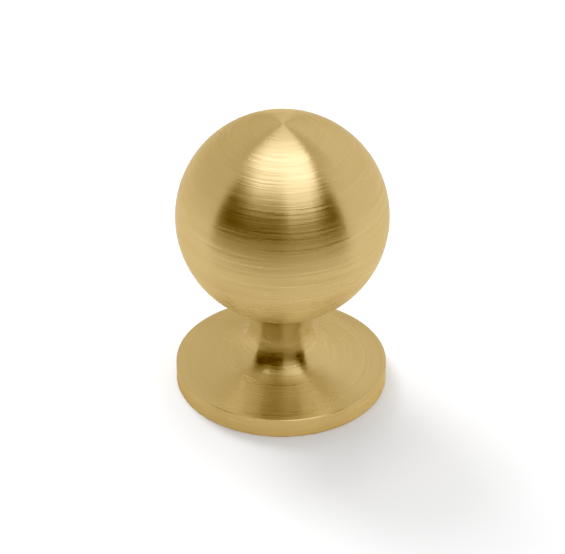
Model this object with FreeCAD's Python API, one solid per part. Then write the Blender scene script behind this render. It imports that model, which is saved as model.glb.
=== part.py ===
import FreeCAD, Part
import math
import os

# Cabinet knob: a ball on a waisted neck that flares into a round foot, turned from one brass bar.
# The foot stands on z = 0 around the origin, the knob's axis is +Z, and all sizes are in millimetres.

# Ball
ball_diameter = 24.9

# Foot: a disc with an upright rim and lightly broken edges
foot_diameter = 25.0
rim_height = 2.37
top_edge_break = 0.08
bottom_edge_break = 0.1

# Dished top of the foot: level at the rim, it rises inwards to the circle where the neck's flank takes over
dish_diameter = 13.4
dish_rise = 1.0

# Neck: the flank climbs from the dish to the waist, and a cove spreads from there to the ball's underside
waist_diameter = 7.7
cove_height = 3.55
neck_top_diameter = 9.2

# Blind fixing hole in the back, drilled, countersunk and tapped for an M4 screw
# It is open to the thread's full diameter; the fine helical ridges inside that diameter aren't cut here
thread_diameter = 4.0
thread_pitch = 0.7
thread_depth = 10.0
drill_clearance = 2.5
drill_point_angle = 118.0
countersink_margin = 0.3


def point(radius, height):
    """A point of the half section, which lies in the XZ plane."""
    return FreeCAD.Vector(radius, 0, height)


def lines(points):
    """The straight edges that join the points in turn."""
    return [Part.LineSegment(start, end).toShape() for start, end in zip(points, points[1:])]


def arc(start, centre, end):
    """The shorter arc about a centre, from one point to another."""
    radius = (start - centre).Length
    towards = (start + end) * 0.5 - centre
    towards.normalize()
    return Part.Arc(start, centre + towards * radius, end).toShape()


def hole_points():
    """The wall of the fixing hole, from the tip of the drill point down to the mouth of the countersink."""
    thread_radius = thread_diameter / 2
    drill_radius = (thread_diameter - thread_pitch) / 2
    mouth_radius = thread_radius + countersink_margin
    drill_depth = thread_depth + drill_clearance
    point_length = drill_radius / math.tan(math.radians(drill_point_angle / 2))
    return [
        point(0, drill_depth + point_length),
        point(drill_radius, drill_depth),
        point(drill_radius, thread_depth),
        point(thread_radius, thread_depth - (thread_radius - drill_radius)),
        point(thread_radius, countersink_margin),
        point(mouth_radius, 0),
    ]


def rim_points():
    """The foot's side, from its flat back up to the inner line of the broken top edge."""
    foot_radius = foot_diameter / 2
    return [
        point(foot_radius - bottom_edge_break, 0),
        point(foot_radius, bottom_edge_break),
        point(foot_radius, rim_height - top_edge_break),
        point(foot_radius - top_edge_break, rim_height),
    ]


def dish(edge):
    """The arc of the foot's top, level at the rim's edge, and its slope where the flank takes over."""
    join = point(dish_diameter / 2, rim_height + dish_rise)
    run = edge.x - join.x
    slope = 2 * math.atan(dish_rise / run)
    centre = edge + point(0, run / math.sin(slope))
    return arc(edge, centre, join), join, slope


def flank(join, slope):
    """The arc that leaves the dish in its own direction and climbs until it is upright at the waist."""
    waist_radius = waist_diameter / 2
    radius = (join.x - waist_radius) / (1 - math.sin(slope))
    waist = point(waist_radius, join.z + radius * math.cos(slope))
    return arc(join, waist + point(radius, 0), waist), waist


def cove(waist):
    """The arc that leaves the waist upright and spreads to the neck's width at the ball."""
    neck_top = point(neck_top_diameter / 2, waist.z + cove_height)
    spread = neck_top.x - waist.x
    radius = (spread ** 2 + cove_height ** 2) / (2 * spread)
    return arc(waist, waist + point(radius, 0), neck_top), neck_top


def ball(neck_top):
    """The ball's outline, from the circle where it sits on the neck up to its top."""
    radius = ball_diameter / 2
    centre = point(0, neck_top.z + math.sqrt(radius ** 2 - neck_top.x ** 2))
    top = centre + point(0, radius)
    return arc(neck_top, centre, top), top


def knob():
    """The half section, followed from the hole round the foot and up to the ball, and turned about the axis."""
    wall = hole_points()
    rim = rim_points()
    dish_edge, join, slope = dish(rim[-1])
    flank_edge, waist = flank(join, slope)
    cove_edge, neck_top = cove(waist)
    ball_edge, top = ball(neck_top)
    curves = [dish_edge, flank_edge, cove_edge, ball_edge]
    section = Part.Wire(lines(wall + rim) + curves + lines([top, wall[0]]))
    return Part.Face(section).revolve(FreeCAD.Vector(0, 0, 0), FreeCAD.Vector(0, 0, 1), 360)


os.makedirs("parts", exist_ok=True)
knob().exportStep("parts/knob.step")
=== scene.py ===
"""A satin brass cabinet knob on a pale floor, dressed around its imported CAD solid. Lengths are in metres."""

import math

import bpy
from mathutils import Matrix, Vector


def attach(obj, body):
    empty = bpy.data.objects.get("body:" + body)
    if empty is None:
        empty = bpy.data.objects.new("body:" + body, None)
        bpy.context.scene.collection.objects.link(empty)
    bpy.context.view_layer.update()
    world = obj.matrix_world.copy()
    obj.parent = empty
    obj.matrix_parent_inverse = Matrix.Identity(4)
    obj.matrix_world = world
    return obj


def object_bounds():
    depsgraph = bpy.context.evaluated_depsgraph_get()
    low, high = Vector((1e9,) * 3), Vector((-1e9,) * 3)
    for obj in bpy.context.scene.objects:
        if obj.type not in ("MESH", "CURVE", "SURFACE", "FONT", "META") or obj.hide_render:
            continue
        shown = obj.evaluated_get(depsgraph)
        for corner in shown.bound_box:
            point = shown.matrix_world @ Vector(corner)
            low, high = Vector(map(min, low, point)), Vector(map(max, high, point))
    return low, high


MM = 0.001

# Camera: it looks down at the knob at about 34 degrees from the front, which is -Y
# Its lens and sensor are in millimetres, as Blender has them
CAMERA_PLACE = Vector((0.0, -0.3157, 0.22493))
CAMERA_TARGET = Vector((0.00007, 0.0, 0.01406))
CAMERA_ROLL = math.radians(0.456)
CAMERA_LENS = 206.27
CAMERA_SENSOR = 36.0
CAMERA_CLIP_START = 0.01

# Picture tone: the shown value is 1 + TONE_SLOPE * ln(light), so light of 1 and above is pure white
TONE_SLOPE = 1 / 3
TONE_POINTS = 12
DARKEST_SHOWN = 0.0005
COMBINED_CURVE = 3

# Brass: its colour, its tint at grazing angles, and the greyer colour that it has where brass mirrors brass
# Its highlights spread along the profile, a quarter turn away from the tangent that runs around the axis
BRASS_COLOR = (0.80, 0.588, 0.304)
BRASS_EDGE_TINT = (1.0, 0.92, 0.75)
BRASS_IN_BRASS = (0.72, 0.70, 0.67)
BRASS_ANISOTROPY = 0.96
QUARTER_TURN = 0.25

# Turning marks: fine rings around the axis, whose grooves are rougher than their crests, with painted shade
# that makes the grooves a little darker and painted light that makes the crests a little lighter
# A level is a value of the marks' noise, which goes from 0 in a groove to 1 on a crest
MARKS_PER_METRE = 3200.0
MARK_DEPTH = 0.037 * MM
MARK_DETAIL = 1.0
GROOVE_LEVEL = 0.35
CREST_LEVEL = 0.65
# Painted shade in the grooves and painted light on the crests, as shares of the brass colour
GROOVE_PAINTED_SHADE = 0.99
CREST_PAINTED_LIGHT = 1.005
GROOVE_ROUGHNESS = 0.395
CREST_ROUGHNESS = 0.205

# Added to the squared distance from the axis, so that nothing is divided by 0 on the axis itself
AXIS_GUARD = 1e-10

# Thread: the ridge that a tap leaves in the fixing hole, from the wall in to the drilled radius
# At both ends it fades into the wall over RIDGE_RUN_OUT turns, down to THINNEST_SHARE of its height
THREAD_PITCH = 0.7 * MM
THREAD_WALL_RADIUS = 2.0 * MM
THREAD_CREST_RADIUS = 1.65 * MM
THREAD_FLOOR = 0.3 * MM
THREAD_CEILING = 9.65 * MM
RIDGE_FOOT_WIDTH = THREAD_PITCH * 7 / 8
RIDGE_CREST_WIDTH = THREAD_PITCH / 4
RIDGE_OVERLAP = 0.02 * MM
RIDGE_RUN_OUT = 0.5
THINNEST_SHARE = 0.02
STEPS_PER_TURN = 48

# Floor: the paper that the camera sees, and the sheet just below it that the brass mirrors, darker in front
# with painted shade
# Both have a round opening under the foot, so that a view from below shows the knob's back
FLOOR_REACH = 0.8
FLOOR_LAP = 0.2 * MM
FLOOR_CORNERS = 180
FLOOR_COLOR = (0.88, 0.88, 0.88)
MIRRORED_FLOOR_DROP = 0.1 * MM
MIRRORED_FLOOR_COLOR = (1.0, 1.0, 1.0)
# Painted shade: the mirrored sheet's colour in front of the knob, and where in y this shade starts and where
# it is full
MIRRORED_FLOOR_PAINTED_SHADE = (0.56, 0.56, 0.56)
PAINTED_SHADE_STARTS = -0.02
PAINTED_SHADE_ENDS = -0.10

# Top panel: a trapezium over the knob, whose front and back edges each run from a left to a right end
TOP_PANEL_CENTRE = Vector((-0.028, -0.044, 0.75))
TOP_PANEL_ROLL = math.radians(-9.07)
TOP_PANEL_TILT = math.radians(-4.61)
TOP_PANEL_FRONT = (-0.394, 0.552)
TOP_PANEL_BACK = (-0.430, 0.271)
TOP_PANEL_HALF_LENGTH = 0.318
TOP_PANEL_LIGHT = 2.05

# Low panel: a dimmer rectangle in front, on the right, that faces the middle of the ball
# Its bearing and elevation are in degrees
LOW_PANEL_BEARING = 25.9
LOW_PANEL_ELEVATION = 60.0
LOW_PANEL_DISTANCE = 1.1
LOW_PANEL_HALF_WIDTH = 0.29
LOW_PANEL_HALF_LENGTH = 0.50
LOW_PANEL_LIGHT = 1.06
PANEL_AIM = Vector((0, 0, 0.0225))

# Soft boxes, which light the visible floor alone; angles are in degrees
BOX_DISTANCE = 0.6
SIDE_BOX = {"bearing": -145.4, "elevation": 42.3, "width": 0.222, "height": 0.273, "light": 11.0}
REAR_BOX = {"bearing": 182.9, "elevation": 63.0, "width": 0.214, "height": 0.150, "light": 5.5}

# Room: walls to the left and right of a dark front, and a ceiling; edges are in degrees
LEFT_WALL_EDGE = 77.0
RIGHT_WALL_EDGE = 71.5
EDGE_SOFTNESS = 0.7
LEFT_WALL_LIGHT = 0.565
RIGHT_WALL_LIGHT = 0.68
FRONT_LIGHT = 0.015
CEILING_LIGHT = 0.502
CEILING_STARTS = 46.3
CEILING_ENDS = 47.2


def towards(bearing, elevation):
    """The unit vector at a bearing from the front, positive to the right, and an elevation, in degrees."""
    turn, rise = math.radians(bearing), math.radians(elevation)
    return Vector((math.cos(rise) * math.sin(turn), -math.cos(rise) * math.cos(turn), math.sin(rise)))


def around_axis(radius, angle, height):
    """The point at a distance from the knob's axis, an angle around it and a height."""
    return radius * math.cos(angle), radius * math.sin(angle), height


def node(tree, kind, inputs=None, **settings):
    """A new shader node. Its inputs are given values, or another node's output to link."""
    made = tree.nodes.new(kind)
    for name, value in settings.items():
        setattr(made, name, value)
    for name, value in (inputs or {}).items():
        if isinstance(value, bpy.types.NodeSocket):
            tree.links.new(value, made.inputs[name])
        else:
            made.inputs[name].default_value = value
    return made


def calc(tree, operation, *values):
    """The output of a Math node."""
    return node(tree, "ShaderNodeMath", dict(enumerate(values)), operation=operation).outputs[0]


def blend(tree, share, first, second):
    """The colour that goes from the first to the second as the share goes from 0 to 1."""
    # A Mix node has sockets for each kind of value: 6, 7 and the output 2 are those for colours
    return node(tree, "ShaderNodeMix", {0: share, 6: first, 7: second}, data_type="RGBA").outputs[2]


def smooth_step(tree, value, low, high):
    """0 below low, 1 above high, and a smooth ramp between them."""
    inputs = {"Value": value, "From Min": low, "From Max": high}
    return node(tree, "ShaderNodeMapRange", inputs, interpolation_type="SMOOTHSTEP").outputs[0]


def principled(name, color):
    """A new material with its Principled shader."""
    material = bpy.data.materials.new(name)
    material.use_nodes = True
    shader = material.node_tree.nodes["Principled BSDF"]
    shader.inputs["Base Color"].default_value = (*color, 1)
    return material, shader


def turning_marks(tree):
    """A noise that changes quickly along the profile and hardly at all around the axis."""
    place = node(tree, "ShaderNodeTexCoord").outputs["Object"]
    x, y, z = node(tree, "ShaderNodeSeparateXYZ", {0: place}).outputs
    squares = calc(tree, "ADD", calc(tree, "MULTIPLY", x, x), calc(tree, "MULTIPLY", y, y))
    radius = calc(tree, "SQRT", calc(tree, "ADD", squares, AXIS_GUARD))
    around = {
        "X": calc(tree, "DIVIDE", x, radius),
        "Y": calc(tree, "DIVIDE", y, radius),
        "Z": calc(tree, "MULTIPLY", z, MARKS_PER_METRE),
    }
    inputs = {
        "Vector": node(tree, "ShaderNodeCombineXYZ", around).outputs[0],
        "W": calc(tree, "MULTIPLY", radius, MARKS_PER_METRE),
        "Scale": 1.0,
        "Detail": MARK_DETAIL,
    }
    return node(tree, "ShaderNodeTexNoise", inputs, noise_dimensions="4D").outputs[0]


def brass_color(tree, marks):
    """The brass with painted shade in the marks' grooves and painted light on their crests, or the greyer
    colour that it shows when it is itself seen in the brass.
    """
    # Painted shade for the grooves and painted light for the crests, blended along the marks' noise
    groove = (*(channel * GROOVE_PAINTED_SHADE for channel in BRASS_COLOR), 1)
    crest = (*(channel * CREST_PAINTED_LIGHT for channel in BRASS_COLOR), 1)
    painted_mark_shading = blend(tree, smooth_step(tree, marks, GROOVE_LEVEL, CREST_LEVEL), groove, crest)
    mirrored = node(tree, "ShaderNodeLightPath").outputs["Is Glossy Ray"]
    return blend(tree, mirrored, painted_mark_shading, (*BRASS_IN_BRASS, 1))


def brushed_brass():
    """Satin brass with fine turning marks around Z: the marks spread each highlight along the profile."""
    material, shader = principled("brushed_brass", BRASS_COLOR)
    tree = material.node_tree
    shader.inputs["Metallic"].default_value = 1.0
    shader.inputs["Specular Tint"].default_value = (*BRASS_EDGE_TINT, 1)
    shader.inputs["Anisotropic"].default_value = BRASS_ANISOTROPY
    shader.inputs["Anisotropic Rotation"].default_value = QUARTER_TURN
    around = node(tree, "ShaderNodeTangent", direction_type="RADIAL", axis="Z")
    marks = turning_marks(tree)
    grain = {"Value": marks, "To Min": GROOVE_ROUGHNESS, "To Max": CREST_ROUGHNESS}
    bump = node(tree, "ShaderNodeBump", {"Height": marks, "Strength": 1.0, "Distance": MARK_DEPTH})
    for name, output in (
        ("Base Color", brass_color(tree, marks)),
        ("Roughness", node(tree, "ShaderNodeMapRange", grain).outputs[0]),
        ("Tangent", around.outputs[0]),
        ("Normal", bump.outputs[0]),
    ):
        tree.links.new(output, shader.inputs[name])
    return material


def paper(name, color):
    """Plain matte paper, as a material and its shader."""
    material, shader = principled(name, color)
    shader.inputs["Roughness"].default_value = 1.0
    shader.inputs["Specular IOR Level"].default_value = 0.0
    return material, shader


def paper_with_painted_shade(name, color, painted_shade_color):
    """Matte paper with painted shade, which takes on another colour in front of the knob."""
    material, shader = paper(name, color)
    tree = material.node_tree
    place = node(tree, "ShaderNodeTexCoord").outputs["Object"]
    y = node(tree, "ShaderNodeSeparateXYZ", {0: place}).outputs[1]
    # Painted shade: the share is 0 in front of the knob, where the paper has the other colour, and 1 near it
    at_knob = smooth_step(tree, y, PAINTED_SHADE_ENDS, PAINTED_SHADE_STARTS)
    with_painted_shade = blend(tree, at_knob, (*painted_shade_color, 1), (*color, 1))
    tree.links.new(with_painted_shade, shader.inputs["Base Color"])
    return material


def glow(name, light):
    """A surface that gives off plain white light."""
    material = bpy.data.materials.new(name)
    material.use_nodes = True
    tree = material.node_tree
    tree.nodes.clear()
    shader = node(tree, "ShaderNodeEmission", {"Strength": light})
    node(tree, "ShaderNodeOutputMaterial", {"Surface": shader.outputs[0]})
    return material


def mesh_object(name, points, faces, material):
    """A mesh object in the scene, with one material."""
    mesh = bpy.data.meshes.new(name)
    mesh.from_pydata(points, [], faces)
    mesh.materials.append(material)
    made = bpy.data.objects.new(name, mesh)
    bpy.context.scene.collection.objects.link(made)
    return made


def ridge_section(share, turns):
    """The ridge's corners at a place on the helix, where its height is a share of the full one."""
    middle = THREAD_FLOOR + RIDGE_FOOT_WIDTH / 2 + turns * THREAD_PITCH
    crest = THREAD_WALL_RADIUS - share * (THREAD_WALL_RADIUS - THREAD_CREST_RADIUS)
    crest_half = (RIDGE_FOOT_WIDTH - share * (RIDGE_FOOT_WIDTH - RIDGE_CREST_WIDTH)) / 2
    root = THREAD_WALL_RADIUS + RIDGE_OVERLAP
    corners = [
        (root, -RIDGE_FOOT_WIDTH / 2),
        (crest, -crest_half),
        (crest, crest_half),
        (root, RIDGE_FOOT_WIDTH / 2),
    ]
    return [around_axis(radius, 2 * math.pi * turns, middle + rise) for radius, rise in corners]


def thread_ridge(material):
    """The right-handed helical ridge in the hole, one closed mesh that fades into the wall at its ends."""
    turns = (THREAD_CEILING - THREAD_FLOOR - RIDGE_FOOT_WIDTH) / THREAD_PITCH
    steps = round(turns * STEPS_PER_TURN)
    sections = []
    for step in range(steps + 1):
        turn = turns * step / steps
        share = min(1.0, turn / RIDGE_RUN_OUT, (turns - turn) / RIDGE_RUN_OUT)
        sections.append(ridge_section(max(share, THINNEST_SHARE), turn))
    points = [point for section in sections for point in section]
    corners = len(sections[0])
    last = steps * corners
    faces = []
    for start in range(0, last, corners):
        for corner in range(corners):
            near, far = start + corner, start + (corner + 1) % corners
            faces.append((near, far, far + corners, near + corners))
    faces.append(tuple(reversed(range(corners))))
    faces.append(tuple(range(last, last + corners)))
    return mesh_object("knob_thread", points, faces, material)


def level_sheet(name, opening, height, material):
    """A wide level ring around the knob's axis, with a round opening in its middle."""
    points, faces = [], []
    for corner in range(FLOOR_CORNERS):
        angle = 2 * math.pi * corner / FLOOR_CORNERS
        points.append(around_axis(opening, angle, height))
        points.append(around_axis(FLOOR_REACH, angle, height))
        inner, after = 2 * corner, 2 * ((corner + 1) % FLOOR_CORNERS)
        faces.append((inner, inner + 1, after + 1, after))
    return mesh_object(name, points, faces, material)


def floors(opening):
    """The visible floor, which lights nothing, and the one that the brass mirrors, which has painted shade in
    front.
    """
    visible = level_sheet("floor", opening, 0.0, paper("floor_paper", FLOOR_COLOR)[0])
    visible.visible_glossy = False
    visible.visible_diffuse = False
    visible.visible_shadow = False
    # The mirrored sheet, with painted shade in front of the knob
    with_painted_shade = paper_with_painted_shade("mirrored_paper", MIRRORED_FLOOR_COLOR, MIRRORED_FLOOR_PAINTED_SHADE)
    mirrored = level_sheet("floor_in_brass", opening, -MIRRORED_FLOOR_DROP, with_painted_shade)
    mirrored.visible_camera = False
    return visible


def light_panel(name, centre, across, along, corners, light):
    """A flat glowing panel that shows in the brass and not in the picture. It emits on both sides."""
    points = [centre + across * right + along * ahead for right, ahead in corners]
    made = mesh_object(name, points, [(0, 1, 2, 3)], glow(name + "_glow", light))
    made.visible_camera = False


def top_panel():
    """The wide panel overhead, which makes the ball's highlight."""
    across = Vector((math.cos(TOP_PANEL_ROLL), 0, math.sin(TOP_PANEL_ROLL)))
    along = Vector((0, -math.cos(TOP_PANEL_TILT), -math.sin(TOP_PANEL_TILT)))
    corners = [
        (TOP_PANEL_FRONT[0], TOP_PANEL_HALF_LENGTH),
        (TOP_PANEL_FRONT[1], TOP_PANEL_HALF_LENGTH),
        (TOP_PANEL_BACK[1], -TOP_PANEL_HALF_LENGTH),
        (TOP_PANEL_BACK[0], -TOP_PANEL_HALF_LENGTH),
    ]
    light_panel("top_panel", TOP_PANEL_CENTRE, across, along, corners, TOP_PANEL_LIGHT)


def low_panel():
    """The dimmer panel that shows in front of the wide one, low on the right."""
    away = towards(LOW_PANEL_BEARING, LOW_PANEL_ELEVATION)
    centre = PANEL_AIM + away * LOW_PANEL_DISTANCE
    across = away.cross(Vector((0, 0, 1))).normalized()
    width, length = LOW_PANEL_HALF_WIDTH, LOW_PANEL_HALF_LENGTH
    corners = [(-width, -length), (width, -length), (width, length), (-width, length)]
    light_panel("low_panel", centre, across, across.cross(away), corners, LOW_PANEL_LIGHT)


def soft_box(name, lit, bearing, elevation, width, height, light):
    """A rectangular light of an even radiance, turned towards the knob, that lights one collection."""
    lamp = bpy.data.lights.new(name, "AREA")
    lamp.shape = "RECTANGLE"
    lamp.size = width
    lamp.size_y = height
    lamp.energy = light * math.pi * width * height
    made = bpy.data.objects.new(name, lamp)
    bpy.context.scene.collection.objects.link(made)
    away = towards(bearing, elevation)
    facing = away.to_track_quat("Z", "Y").to_matrix().to_4x4()
    made.matrix_world = Matrix.Translation(away * BOX_DISTANCE) @ facing
    made.visible_glossy = False
    made.light_linking.receiver_collection = lit


def wall(tree, bearing, edge, light):
    """What a wall adds to the front's light, from its edge on."""
    start, end = math.radians(edge - EDGE_SOFTNESS), math.radians(edge + EDGE_SOFTNESS)
    return calc(tree, "MULTIPLY", smooth_step(tree, bearing, start, end), light - FRONT_LIGHT)


def room_strength(tree):
    """The room's light from each direction: the two walls, the front between them and the ceiling."""
    direction = node(tree, "ShaderNodeTexCoord").outputs["Generated"]
    x, y, z = node(tree, "ShaderNodeSeparateXYZ", {0: direction}).outputs
    to_right = calc(tree, "ARCTAN2", x, calc(tree, "MULTIPLY", y, -1.0))
    to_left = calc(tree, "MULTIPLY", to_right, -1.0)
    left = wall(tree, to_left, LEFT_WALL_EDGE, LEFT_WALL_LIGHT)
    right = wall(tree, to_right, RIGHT_WALL_EDGE, RIGHT_WALL_LIGHT)
    around = calc(tree, "ADD", calc(tree, "ADD", left, right), FRONT_LIGHT)
    start, end = math.sin(math.radians(CEILING_STARTS)), math.sin(math.radians(CEILING_ENDS))
    overhead = smooth_step(tree, z, start, end)
    walls = calc(tree, "MULTIPLY", around, calc(tree, "SUBTRACT", 1.0, overhead))
    return calc(tree, "ADD", walls, calc(tree, "MULTIPLY", overhead, CEILING_LIGHT))


def room_light():
    """The light of the room around the knob. The camera itself sees a white backdrop in the room's place."""
    world = bpy.data.worlds.new("room")
    bpy.context.scene.world = world
    world.use_nodes = True
    tree = world.node_tree
    backdrop = node(tree, "ShaderNodeLightPath").outputs["Is Camera Ray"]
    shown = calc(tree, "MAXIMUM", room_strength(tree), backdrop)
    background = tree.nodes["Background"]
    background.inputs["Color"].default_value = (1, 1, 1, 1)
    tree.links.new(shown, background.inputs["Strength"])


def studio(foot_radius):
    """The floor, the room and the lights. The floor reaches a little way in under the foot's edge."""
    lit = bpy.data.collections.new("lit_floor")
    lit.objects.link(floors(foot_radius - FLOOR_LAP))
    room_light()
    top_panel()
    low_panel()
    soft_box("side_box", lit, **SIDE_BOX)
    soft_box("rear_box", lit, **REAR_BOX)


def camera():
    """The camera at the photograph's viewing angle."""
    data = bpy.data.cameras.new("camera")
    data.lens = CAMERA_LENS
    data.sensor_width = CAMERA_SENSOR
    data.clip_start = CAMERA_CLIP_START
    made = bpy.data.objects.new("camera", data)
    bpy.context.scene.collection.objects.link(made)
    ahead = (CAMERA_TARGET - CAMERA_PLACE).normalized()
    level_right = ahead.cross(Vector((0, 0, 1))).normalized()
    level_up = level_right.cross(ahead)
    right = level_right * math.cos(CAMERA_ROLL) + level_up * math.sin(CAMERA_ROLL)
    up = level_up * math.cos(CAMERA_ROLL) - level_right * math.sin(CAMERA_ROLL)
    turn = Matrix((right, up, -ahead)).transposed().to_4x4()
    made.matrix_world = Matrix.Translation(CAMERA_PLACE) @ turn
    bpy.context.scene.camera = made


def linear(shown):
    """The linear value that the screen's own curve, sRGB, shows as this one."""
    return shown / 12.92 if shown <= 0.04045 else ((shown + 0.055) / 1.055) ** 2.4


def picture_tone():
    """A soft film-like tone: equal steps in the logarithm of the light are equal steps in the picture."""
    settings = bpy.context.scene.view_settings
    settings.view_transform = "Standard"
    settings.look = "None"
    settings.use_curve_mapping = True
    mapping = settings.curve_mapping
    mapping.use_clip = False
    curve = mapping.curves[COMBINED_CURVE]
    curve.points[0].location = (0, 0)
    curve.points[1].location = (1, 1)
    curve.points.new(math.exp(-1 / TONE_SLOPE), DARKEST_SHOWN)
    for step in range(1, TONE_POINTS):
        shown = step / TONE_POINTS
        light = math.exp((shown - 1) / TONE_SLOPE)
        curve.points.new(light, linear(shown))
    for point in curve.points:
        point.handle_type = "AUTO_CLAMPED"
    mapping.update()


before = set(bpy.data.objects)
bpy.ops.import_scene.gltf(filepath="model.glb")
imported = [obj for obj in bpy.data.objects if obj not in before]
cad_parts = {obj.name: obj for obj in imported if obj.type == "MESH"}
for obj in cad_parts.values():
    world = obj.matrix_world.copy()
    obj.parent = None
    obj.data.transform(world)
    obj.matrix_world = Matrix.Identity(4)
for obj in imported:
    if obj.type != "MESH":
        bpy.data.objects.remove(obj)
cad_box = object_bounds()
foot_radius = cad_box[1][0]
camera()
picture_tone()
studio(foot_radius)

brass = brushed_brass()
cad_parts["knob"].material_slots[0].material = brass
ridge = thread_ridge(brass)
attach(ridge, "root")
